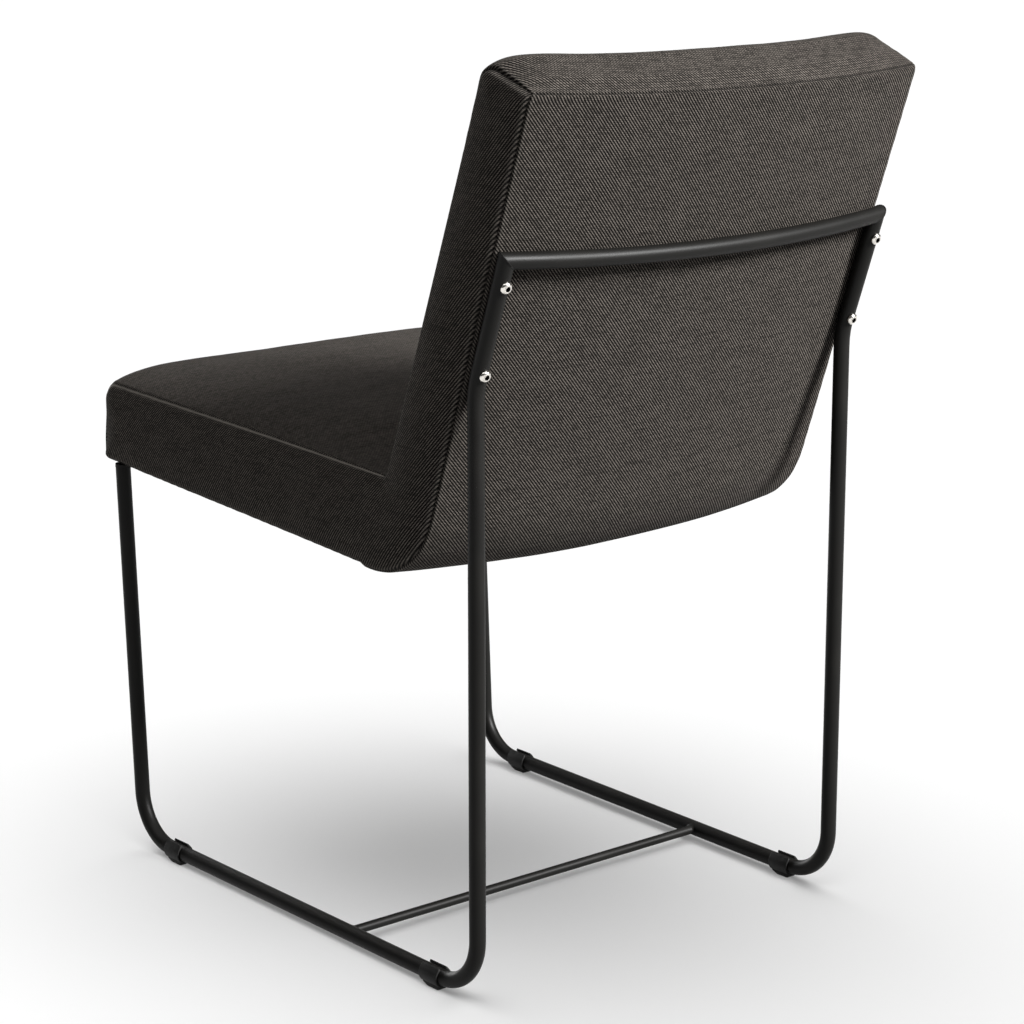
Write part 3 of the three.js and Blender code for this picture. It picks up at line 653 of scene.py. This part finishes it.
def glide(place, side, sign):
    """A split sleeve round the floor rail with rounded lips, and the tapered foot that it stands on.

    Sleeve: a rounded section carried round the rail from lip to lip, thickened at each by a bell curve. Foot:
    rounded rectangles stacked from the floor up to the sleeve.
    """
    node = f"glide_{place}_{side}"
    low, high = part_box(node)
    y = (low.y + high.y) / 2
    middle = np.array([sign * half_track(y - BASE_Y), y, RAIL_Z])
    toe_in = sign * math.atan2(TOE_IN, 4 * LEG_Y)
    c, s = math.cos(toe_in), math.sin(toe_in)
    turn = np.array([[c, -s, 0], [s, c, 0], [0, 0, 1]])

    def put(kind, rings, flat_angle):
        """A piece lofted through rings, turned into the rail's line and moved onto it."""
        points, faces = loft(rings)
        points = points @ turn.T + middle
        name = f"glide_{kind}_{place}_{side}"
        return make_piece(name, points, faces, PLASTIC, "black_plastic", flat_angle=flat_angle)

    inner, outer = TUBE_R + SLEEVE_CLEARANCE, TUBE_R + SLEEVE_WALL
    half = SLEEVE_LENGTH / 2
    section = rounded_box_ring((inner, -half), (outer, half), 0.0008)
    angles = math.pi / 2 + np.linspace(SLOT_TURN, 2 * math.pi - SLOT_TURN, 57)
    rings = []
    for k, angle in enumerate(angles):
        from_end = min(k, len(angles) - 1 - k)
        lip = SLEEVE_LIP * math.exp(-((from_end / 2.2) ** 2))
        radii = section[:, 0] + lip * (section[:, 0] > (inner + outer) / 2)
        lengths = section[:, 1] * (1 - 0.06 * math.exp(-from_end))
        rings.append(np.stack([radii * math.cos(angle), lengths, radii * math.sin(angle)], -1))
    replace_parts(put("sleeve", rings, 50), node)

    heel = half - 0.0015
    toe = heel - FOOT_LENGTH
    chamfer = 0.0006
    stations = [
        (0.0, chamfer, toe, heel),
        (chamfer, 0.0, toe, heel),
        (0.0026, 0.0, -half * 0.86, half * 0.98),
        (0.0052, 0.0, -half, half),
    ]
    rings = []
    for z, shrink, front, rear in stations:
        side_at = FOOT_WIDTH / 2 - shrink
        ring = rounded_box_ring((-side_at, front + shrink), (side_at, rear - shrink), 0.0014)
        rings.append(np.stack([ring[:, 0], ring[:, 1], np.full(len(ring), z - RAIL_Z)], -1))
    put("foot", rings, 40)


for side, sign in SIDES.items():
    side_frame(side, sign)
    for level, height in SCREW_HEIGHTS.items():
        at = in_frame(sign, post_at(height) - REARWARDS * (TUBE_R + GAP))
        forwards = np.array([0, *-REARWARDS])
        screw(f"back_screw_{level}_{side}", at, forwards, 2 * TUBE_R + HEAD_LIFT, SCREW_TIP)
    for level, reach in PLATE_SCREW_REACHES.items():
        at = across(LEG_TOP, sign * (half_track(LEG_TOP[0]) - reach))
        upwards = np.array([0, *INTO_SEAT])
        screw(f"seat_screw_{level}_{side}", at, upwards, PLATE_THICKNESS + 2 * GAP, SCREW_TIP)
    for place in ("front", "rear"):
        glide(place, side, sign)
top_rail()
stretcher()

# ---- the upholstery
on_rear = post_at(KNEE_Z) - REARWARDS * (TUBE_R + GAP + BACK_BOW * (1 - (POST_X / HALF) ** 2))
FACE_UP = np.array([math.sin(RECLINE + BACK_TAPER), math.cos(RECLINE + BACK_TAPER)])
SEAT_RUN = np.array([math.cos(SEAT_SEAM_FALL), -math.sin(SEAT_SEAM_FALL)])


def meet(p, d, q, e):
    """Where the line through p along d meets the line through q along e."""
    return p + d * cross2(q - p, e) / cross2(d, e)


front_bottom = under_seat(-FRONT_FULLNESS)
front_top = np.array([FRONT_Y, SEAT_SEAM_Z]) - SEAT_RUN * FRONT_FULLNESS
rear_bottom = meet(front_bottom, UNDERSIDE, on_rear, UP)
top_rear = meet(on_rear, UP, np.array([0, BACK_TOP_Z]), np.array([1.0, 0]))
top_front = top_rear - REARWARDS * BACK_TOP_THICKNESS
crease = meet(front_top, SEAT_RUN, top_front, FACE_UP)


class Outline:
    """The upholstery's closed outline in the side view, sampled so that its outer and inner runs pair up.

    The outer run goes from the front's bottom under the seat and up the rear; the inner run goes from the
    front's top over the seat and up the back's face. Straight rulings join their samples in pairs.
    """

    segments = (16, 120, 44, 116, 16)

    def __init__(self, rulings):
        """Draw the corners as arcs, sample them by distance, and stand the hem out along the normals."""
        corners = [
            (front_bottom, FOOT_R),
            (rear_bottom, REAR_CORNER_R),
            (top_rear, TOP_REAR_R),
            (top_front, TOP_FRONT_R),
            (crease, CREASE_R),
            (front_top, NOSE_R),
        ]
        dense, spans = rounded(corners, True, math.radians(0.5))
        looped = np.vstack([dense, dense[:1]])
        length = np.concatenate([[0], np.cumsum(np.linalg.norm(np.diff(looped, axis=0), axis=1))])
        self.total = length[-1]

        def at(s):
            s = np.asarray(s) % self.total
            return np.stack([np.interp(s, length, looped[:, k]) for k in (0, 1)], -1)

        marks = [(length[a], length[b]) for a, b in spans]
        (a0, a1), (b0, b1), (c0, c1), (d0, d1), (e0, e1), (f0, f1) = marks
        self.marks = dict(zip(("foot", "rear_corner", "top_rear", "top_front", "crease", "nose"), marks))
        outer = self.knots([a0, a1, b0, b1, c0, c1])
        inner = self.knots([f1, f0, e1, e0, d1, d0])
        self.rows = len(outer)
        over_top = c1 + (d0 - c1) * rulings[1:-1]
        front = f1 + (a0 + self.total - f1) * (1 - rulings[1:-1][::-1])
        self.s = np.concatenate([outer, over_top, inner[::-1], front])
        self.points = at(self.s)
        ahead = at(self.s + 2e-4) - at(self.s - 2e-4)
        ahead /= np.linalg.norm(ahead, axis=1)[:, None]
        self.normals = np.stack([ahead[:, 1], -ahead[:, 0]], -1)
        hem = ease((self.s - b0 + HEM_REACH) / 0.006) * ease((b1 - self.s) / 0.07)
        self.points += self.normals * (HEM_THICKNESS * hem)[:, None]

    def knots(self, values):
        """Samples between marks, evenly spaced in each stretch."""
        stretches = zip(values[:-1], values[1:], self.segments)
        parts = [np.linspace(a, b, n, endpoint=False) for a, b, n in stretches]
        return np.concatenate([*parts, [values[-1]]])


RULINGS = 0.5 - 0.5 * np.cos(np.linspace(0, math.pi, 41))
outline = Outline(RULINGS)


def bow_share():
    """How much of the back's bow each outline sample takes: all in the back, easing to none in the seat."""
    under = ease((outline.s - outline.marks["rear_corner"][0]) / (REAR_CORNER_R * BOW_TURN))
    over = ease((outline.marks["crease"][0] - outline.s) / BOW_RUN + 1)
    middle_of_top = (outline.marks["top_rear"][1] + outline.marks["top_front"][0]) / 2
    return np.where(outline.s < middle_of_top, under, over)


def crown_shape():
    """How far the padding stands out along its middle at each outline sample, and how squarely it stays full
    towards the sides: straight lines between places chosen along the outline."""
    (_, a1), (b0, b1), (c0, c1), (d0, d1), (e0, e1), (f0, f1) = outline.marks.values()
    rail = b1 + (c0 - b1) * 0.62
    # Each row: a place, how far the middle stands out there, and the power that squares it.
    knots = [
        (0.0, 0.0005, 4),
        (a1, 0.0, 4),
        (b0, 0.0, 4),
        (b0 + 0.04, 0.0008, 3),
        (b1, 0.0012, 3),
        (b1 + 0.12, 0.0020, 3),
        (rail - 0.03, 0.0004, 3),
        (rail + 0.03, 0.0004, 3),
        (rail + 0.10, 0.0022, 3),
        (c0 - 0.02, 0.0006, 3),
        (c1, 0.0, 6),
        (c1 + 0.015, 0.0065, 14),
        (d0, 0.0115, 16),
        (d1, 0.0115, 12),
        (d1 + 0.08, 0.0100, 4),
        (e0 - 0.14, 0.0085, 3.4),
        (e0 - 0.03, 0.0030, 3.4),
        (e0, 0.0, 3.6),
        (e1, 0.0, 3.6),
        (e1 + 0.03, 0.0070, 3.6),
        (e1 + 0.11, 0.0165, 4.5),
        (e1 + 0.22, 0.0180, 5.5),
        (f0 - 0.06, 0.0160, 7),
        (f0, 0.0125, 8),
        (f1, 0.0080, 8),
        (f1 + 0.03, 0.0045, 8),
        (outline.total, 0.0005, 4),
    ]
    s, amount, square = np.array(knots).T
    return np.interp(outline.s, s, amount), np.interp(outline.s, s, square)


def edge_radius(yz):
    """The side edges' roundness at side-view points: larger down the seat's front, but not at its foot."""
    above_foot = ease((yz[..., 1] - UNDERSIDE_Z - 0.003) / 0.022)
    return EDGE_R + (FRONT_EDGE_R - EDGE_R) * front_zone(yz) * above_foot


def flared(x, yz):
    """Places across the width, in proportion wider at the seat's front and narrower at the back's top."""
    below_top = (top_rear - yz) @ UP
    wider = SEAT_FLARE * ease((0.02 - yz[..., 0]) / 0.28)
    narrower = TOP_DRAW * np.clip(1 - below_top / TOP_DRAW_DEPTH, 0, 1) ** 2
    return x * (1 + (wider - narrower) / HALF)


def front_zone(yz):
    """1 at the seat's front face, easing to 0 behind it: there the cloth turns the side edge with no seam."""
    return ease((FRONT_Y + 0.022 - yz[..., 0]) / 0.018)


def ripples(a, b, seed, wavelength, count=9):
    """A smooth unevenness of about unit size over two coordinates: a sum of plane waves."""
    rng = np.random.default_rng(seed)
    out = np.zeros(np.broadcast(a, b).shape)
    for _ in range(count):
        angle, phase, stretch = rng.uniform(0, math.pi), rng.uniform(0, 2 * math.pi), rng.uniform(0.7, 1.6)
        k = 2 * math.pi / (wavelength * stretch)
        out += np.sin(k * (a * math.cos(angle) + b * math.sin(angle)) + phase)
    return out / math.sqrt(count / 2)


def columns():
    """Places across the width: even over the middle, finer near the sides, then round the edge to each seam.

    Returns x, the turn of the surface there, and the cloth's length to the seam and from the middle.
    """
    turn = np.linspace(0, 1, 9) * SEAM_TURN
    flat = HALF - EDGE_R
    fine = 0.03
    near = flat - fine * np.linspace(1, 0, 16, endpoint=False) ** 1.5
    level = np.concatenate([np.linspace(0, flat - fine, 56, endpoint=False), near])
    turns = np.concatenate([np.zeros(len(level)), turn])
    x = np.concatenate([level, flat + EDGE_R * np.sin(turn)])
    width = np.where(turns > 0, flat + EDGE_R * turns, x)
    seam = flat + EDGE_R * SEAM_TURN - width
    halves = [(x, -1), (turns, -1), (seam, 1), (width, -1)]
    return [np.concatenate([sign * values[:0:-1], values]) for values, sign in halves]


def bell(distance, width):
    """1 at a line, falling away on both sides as a bell curve."""
    return np.exp(-((distance / width) ** 2))


SEAM_DEPTH = 0.0013
SEAM_WIDTH = 0.0013
STITCH_WIDTH = 0.0010  # of the dark line in a seam and of the stitches beside it
SEAM_LIGHT = 0.8
SEAM_SHADE = 0.6
STITCH_LIGHT = 0.3
SETTLE = 0.02  # from the seams to where the cloth lies free
SEAM_INSET = 1 - math.cos(SEAM_TURN)

x, turns, seam, width = columns()
share = bow_share()
crease_at = sum(outline.marks["crease"]) / 2
from_rear_seam = np.abs(outline.s - sum(outline.marks["top_rear"]) / 2)[:, None]
on_seat = ease((outline.s - outline.marks["crease"][1] + 0.004) / 0.006)
on_seat = on_seat * ease((outline.marks["nose"][1] + 0.012 - outline.s) / 0.012)


def band():
    """The cloth round the outline, as a grid of points: outline samples by places across the width.

    Each sample is carried across the width, set in round the side edges, moved out along its normal by its
    crown and small waves, back by the bow (a parabola across the width), and in at the seams.
    """
    amount, square = crown_shape()
    radius = edge_radius(outline.points)[:, None]
    unseamed = front_zone(outline.points)[:, None]
    s = outline.s[:, None]
    flat = HALF - EDGE_R
    inner = np.clip(np.abs(x), 0, flat) * (HALF - radius) / flat
    placed = np.sign(x) * (inner + radius * np.sin(np.abs(turns)))
    ratio = np.clip(np.abs(x) / HALF, 0, 1)
    crown = amount[:, None] * (1 - ratio ** square[:, None])
    bow = BACK_BOW * share[:, None] * (1 - ratio**2)
    away = np.clip(seam / SETTLE, 0, 1)
    padded = ease((amount[:, None] - 0.0002) / 0.004) * 0.6 + 0.4
    uneven = 0.0003 * ripples(width[None, :], s, 3, 0.17) + 0.00008 * ripples(width[None, :], s, 8, 0.05)
    pucker = 0.0002 * np.sin(2 * math.pi * (s / 0.019 + 0.35 * ripples(s * 0, s, 5, 0.09)))
    pucker = pucker * (1 - unseamed) * np.exp(-seam / 0.006)
    folds = 0.0005 * ripples(width[None, :], s * 0.3, 21, 0.045) * np.exp(-np.abs(s - crease_at) / 0.012)
    side_groove = SEAM_DEPTH * bell(seam, SEAM_WIDTH) * (1 - unseamed)
    groove = side_groove + 0.0010 * bell(from_rear_seam, 0.0012) * (1 - bell(seam, 0.002))
    out = crown + (uneven * padded + folds) * away + pucker
    out = out - groove * np.cos(turns) - radius * (1 - np.cos(turns))
    yz = outline.points[:, None] + outline.normals[:, None] * out[..., None] + REARWARDS * bow[..., None]
    across_width = flared(placed - np.sin(turns) * groove, outline.points[:, None])
    return np.concatenate([across_width[..., None], yz + [BASE_Y, 0]], -1)


def band_layout():
    """The band's UV, in metres of cloth across and along, pulled open over the back's top."""
    s = np.concatenate([outline.s, [outline.s[0] + outline.total]])
    top_start, top_end = outline.marks["top_rear"][1], outline.marks["top_front"][0]
    s = s - TOP_CLOTH_STRETCH * np.clip(s - top_start, 0, top_end - top_start)
    cell = np.zeros((len(outline.s), len(x) - 1, 4, 2))
    cell[..., 0, 0] = cell[..., 3, 0] = width[None, :-1]
    cell[..., 1, 0] = cell[..., 2, 0] = width[None, 1:]
    cell[..., 0, 1] = cell[..., 1, 1] = s[:-1, None]
    cell[..., 2, 1] = cell[..., 3, 1] = s[1:, None]
    return cell.reshape(-1, 4, 2)[:, ::-1]


def band_marks():
    """Where the band's seams catch light, are dark, and show stitches: bell curves along each seam."""
    seamed = (1 - on_seat)[:, None] * (1 - front_zone(outline.points)[:, None])
    light = SEAM_LIGHT * on_seat[:, None] * bell(np.maximum(seam - 0.0002, 0), 0.00055)
    shade = SEAM_SHADE * bell(seam, STITCH_WIDTH) * seamed
    shade = np.maximum(shade, 0.75 * bell(from_rear_seam, 0.0009))
    return light.ravel(), shade.ravel(), (STITCH_LIGHT * bell(seam - 0.0028, 0.0009) * seamed).ravel()


def panel_grid():
    """Which outline sample each border point of a side panel is: rows along it by rulings across it."""
    rows, count, total = outline.rows, len(RULINGS), len(outline.s)
    grid = np.zeros((rows, count), int)
    grid[:, 0] = np.arange(rows)
    grid[:, -1] = rows + count - 2 + (rows - 1 - np.arange(rows))
    grid[-1, 1:-1] = rows + np.arange(count - 2)
    grid[0, 1:-1] = total - 1 - np.arange(count - 2)
    return grid


def distance_to_loop(points, loop):
    """Each point's least distance to the straight stretches of a loop, taken a few stretches at a time."""
    ahead = np.roll(loop, -1, axis=0) - loop
    least = np.full(points.shape[:-1], np.inf)
    for start in range(0, len(loop), 64):
        p, d = loop[start : start + 64], ahead[start : start + 64]
        t = np.clip(np.einsum("...kc,kc->...k", points[..., None, :] - p, d) / np.sum(d * d, 1), 0, 1)
        gap = points[..., None, :] - p - d * t[..., None]
        least = np.minimum(least, np.sqrt(np.sum(gap * gap, -1)).min(-1))
    return least


def side_panel(sign, inside, distance, panel_share):
    """A side panel's inner points: out from the side view by the half width, the rounded edge and the bulge.

    The edge is part of a circle, the bulge a parabola that is full at its run from the seam, and the seam a
    groove of bell section.
    """
    radius = edge_radius(inside)
    short = np.clip(radius * (1 - SEAM_INSET) - distance, 0, None)
    over_edge = np.sqrt(radius**2 - short**2) - radius
    full = 1 - (1 - np.clip(distance / BULGE_RUN, 0, 1)) ** 2
    away = np.clip(distance / SETTLE, 0, 1)
    swell = SIDE_BULGE * full + 0.0002 * ripples(inside[..., 0], inside[..., 1], 11 + sign, 0.09) * away
    swell = swell - SEAM_DEPTH * bell(distance, SEAM_WIDTH) * (1 - front_zone(inside))
    bow = BACK_BOW * panel_share * (1 - ((HALF - 0.001) / HALF) ** 2) * (1 - away)
    across_width = flared(sign * (HALF + over_edge + swell), inside)
    return np.concatenate([across_width[..., None], inside + REARWARDS * bow[..., None] + [BASE_Y, 0]], -1)


def panel_marks(inside, distance, from_top, seat_seam):
    """The panels' seam light, shade and stitches, as the band's. Only the seat's own seam is light."""
    seamed = 1 - front_zone(inside)
    lit = (from_top < 0.004) * seat_seam
    light = SEAM_LIGHT * lit * bell(np.maximum(distance - 0.0002, 0), 0.0006)
    shade = SEAM_SHADE * bell(distance, STITCH_WIDTH) * (1 - lit) * seamed
    stitches = STITCH_LIGHT * bell(distance - 0.0024, STITCH_WIDTH) * seamed
    stitches = stitches * (1 - seat_seam * (from_top < 0.02))
    return light.ravel(), shade.ravel(), stitches.ravel()


def upholstery():
    """The padded body: the band of cloth, and on each side a panel ruled straight across between samples."""
    surface = band()
    index = np.arange(surface[..., 0].size).reshape(surface.shape[:2])
    offset = index.size
    index = np.vstack([index, index[:1]])
    points, quads = [surface.reshape(-1, 3)], [cells(index).reshape(-1, 4)[:, ::-1]]
    layout, marks = [band_layout()], [band_marks()]

    rim = outline.points - outline.normals * (edge_radius(outline.points)[:, None] * SEAM_INSET)
    grid = panel_grid()
    ruling = RULINGS[None, :, None]
    ruled = rim[grid[:, 0]][:, None] * (1 - ruling) + rim[grid[:, -1]][:, None] * ruling
    inside = ruled[1:-1, 1:-1]
    inner = RULINGS[1:-1]
    panel_share = share[grid[1:-1, 0]][:, None] * (1 - inner) + share[grid[1:-1, -1]][:, None] * inner
    distance = distance_to_loop(inside, rim)
    from_top = np.linalg.norm(inside - rim[grid[1:-1, -1]][:, None], axis=-1)
    panel_mark = panel_marks(inside, distance, from_top, on_seat[grid[1:-1, -1]][:, None])
    for sign in SIDES.values():
        points.append(side_panel(sign, inside, distance, panel_share).reshape(-1, 3))
        full_grid = index[grid, -1 if sign == 1 else 0]
        full_grid[1:-1, 1:-1] = offset + np.arange(distance.size).reshape(distance.shape)
        offset += distance.size
        quads.append(cells(full_grid.T).reshape(-1, 4)[:, ::sign])
        flat = cells(ruled.swapaxes(0, 1)).reshape(-1, 4, 2)[:, ::sign]
        layout.append(flat * [sign, 1] + [sign * 0.013, 0.021])
        marks.append(panel_mark)
    light, shade, stitches = [np.concatenate(values) for values in zip(*marks)]
    piece = make_piece(
        "upholstered_seat_and_back",
        np.concatenate(points),
        (np.concatenate(quads),),
        CLOTH,
        "upholstery_fabric",
        uv=np.concatenate(layout),
        attributes={"seam_light": light, "seam_shade": shade, "seam_stitches": stitches},
    )
    covers = ("seat_and_back_cover", "outside_back_cover", "side_panel_left", "side_panel_right")
    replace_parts(piece, "seat_foam", "back_foam", *covers)


def lining_sheet():
    """The lining under the seat: a thin closed sheet with its edges turned under.

    Its face hangs from the underside by a step at the edge, a slow sag and small waves, and its puckers along
    the edge are a sine that fades inwards.
    """
    front, rear = LINING_HEMS
    half = HALF - LINING_INSET
    length = np.linalg.norm(rear_bottom - under_seat(0)) - front - rear
    count = 121
    u, v = np.linspace(-1, 1, count)[:, None], np.linspace(0, 1, count)[None, :]
    x, along = u * half, front + length * v
    edge = np.minimum((1 - np.abs(u)) * half, np.minimum(v, 1 - v) * length)
    sag = LINING_THICKNESS + 0.0012 * ease(edge / 0.006) * (1 + 0.25 * ripples(x, along, 31, 0.07))
    sag = sag + 0.0012 * ease(edge / 0.12)
    sag = sag + 0.0003 * np.sin(2 * math.pi * along / 0.03) * np.exp(-edge / 0.01)
    base = under_seat(0) + UNDERSIDE * along[..., None]
    sheets = []
    for depth in (sag, np.full_like(sag, -LINING_THICKNESS)):
        yz = base - INTO_SEAT * depth[..., None] + [BASE_Y, 0]
        sheets.append(np.concatenate([np.broadcast_to(x[..., None], (count, count, 1)), yz], -1))
    lower = np.arange(count * count).reshape(count, count)
    upper = lower + count * count
    quads = [cells(lower).reshape(-1, 4), cells(upper.T).reshape(-1, 4)]
    a, b = [np.concatenate([g[:, 0], g[-1, 1:], g[-2::-1, -1], g[0, -2:0:-1]]) for g in (lower, upper)]
    quads.append(np.stack([a, np.roll(a, -1), np.roll(b, -1), b], -1))
    points, faces = np.concatenate(sheets).reshape(-1, 3), (np.concatenate(quads),)
    piece = make_piece("underside_lining", points, faces, LINING, "black_lining", flat_angle=60)
    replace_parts(piece, "dust_cover")


upholstery()
lining_sheet()

# ---- CAD nodes that are kept
for name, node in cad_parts.items():
    if node.hide_render:
        continue
    kind = PLYWOOD if name == "plywood_shell" else ZINC if "_insert_" in name else COAT
    node.data.materials.clear()
    node.data.materials.append(kind)

# ---- floor, light and camera
scene = bpy.context.scene


floor_mesh = bpy.data.meshes.new("floor")
reach = 60.0
corners = [(-reach, -reach, 0), (reach, -reach, 0), (reach, reach, 0), (-reach, reach, 0)]
floor_mesh.from_pydata(corners, [], [(0, 1, 2, 3)])
floor = bpy.data.objects.new("floor", floor_mesh)
scene.collection.objects.link(floor)
floor_mesh.materials.append(Shader("pale_floor", (0.86, 0.86, 0.86), 0.9).material)

# The room gives little light of its own, and is white behind the chair.
world = bpy.data.worlds.new("studio")
scene.world = world
world.use_nodes = True
nodes, links = world.node_tree.nodes, world.node_tree.links
room = nodes["Background"]
room.inputs[0].default_value = (1.0, 0.995, 0.985, 1)
room.inputs[1].default_value = 0.08
white = nodes.new("ShaderNodeBackground")
white.inputs[1].default_value = 1.0
seen = nodes.new("ShaderNodeLightPath")
choice = nodes.new("ShaderNodeMixShader")
links.new(seen.outputs["Is Camera Ray"], choice.inputs[0])
links.new(room.outputs[0], choice.inputs[1])
links.new(white.outputs[0], choice.inputs[2])
links.new(choice.outputs[0], nodes["World Output"].inputs[0])


def softbox(name, at, towards, width, height, watts, spare):
    """A rectangular soft light. It doesn't light the objects of the collection it spares."""
    light = bpy.data.lights.new(name, "AREA")
    light.shape, light.size, light.size_y, light.energy = "RECTANGLE", width, height, watts
    box = bpy.data.objects.new(name, light)
    box.location = at
    box.rotation_euler = (Vector(towards) - Vector(at)).to_track_quat("-Z", "Y").to_euler()
    scene.collection.objects.link(box)
    box.light_linking.receiver_collection = spare
    for item in spare.collection_objects:
        item.light_linking.link_state = "EXCLUDE"


floor_only = bpy.data.collections.new("floor_only")
floor_only.objects.link(floor)
softbox("key", (-1.9, 4.0, 3.15), (0, 0.1, 0.5), 1.4, 1.4, 1100, floor_only)
softbox("front_fill", (-0.4, -4.2, 0.8), (0, 0, 0.5), 2.4, 1.2, 80, floor_only)


def sky(name, strength, shadow, only=None):
    """A broad even light from straight above, on everything or on one collection only."""
    light = bpy.data.lights.new(name, "SUN")
    light.energy, light.angle, light.use_shadow = strength, math.radians(80), shadow
    lamp = bpy.data.objects.new(name, light)
    scene.collection.objects.link(lamp)
    if only is not None:
        lamp.light_linking.receiver_collection = only


sky("overhead", 2.1, True)
lit_floor = bpy.data.collections.new("lit_floor")
lit_floor.objects.link(floor)
sky("floor_wash", 1.5, False, lit_floor)

CAMERA_AT = (1.71492, 2.11853 + BASE_Y, 1.01811 + RAIL_Z)
CAMERA_DOWN = math.radians(13.676)
CAMERA_TURN = math.radians(140.353)

camera_data = bpy.data.cameras.new("camera")
camera_data.sensor_width, camera_data.lens = 36, 101.405
camera = bpy.data.objects.new("camera", camera_data)
camera.location = CAMERA_AT
camera.rotation_euler = (math.radians(90) - CAMERA_DOWN, 0, CAMERA_TURN)
scene.collection.objects.link(camera)
scene.camera = camera
scene.view_settings.view_transform = "Standard"
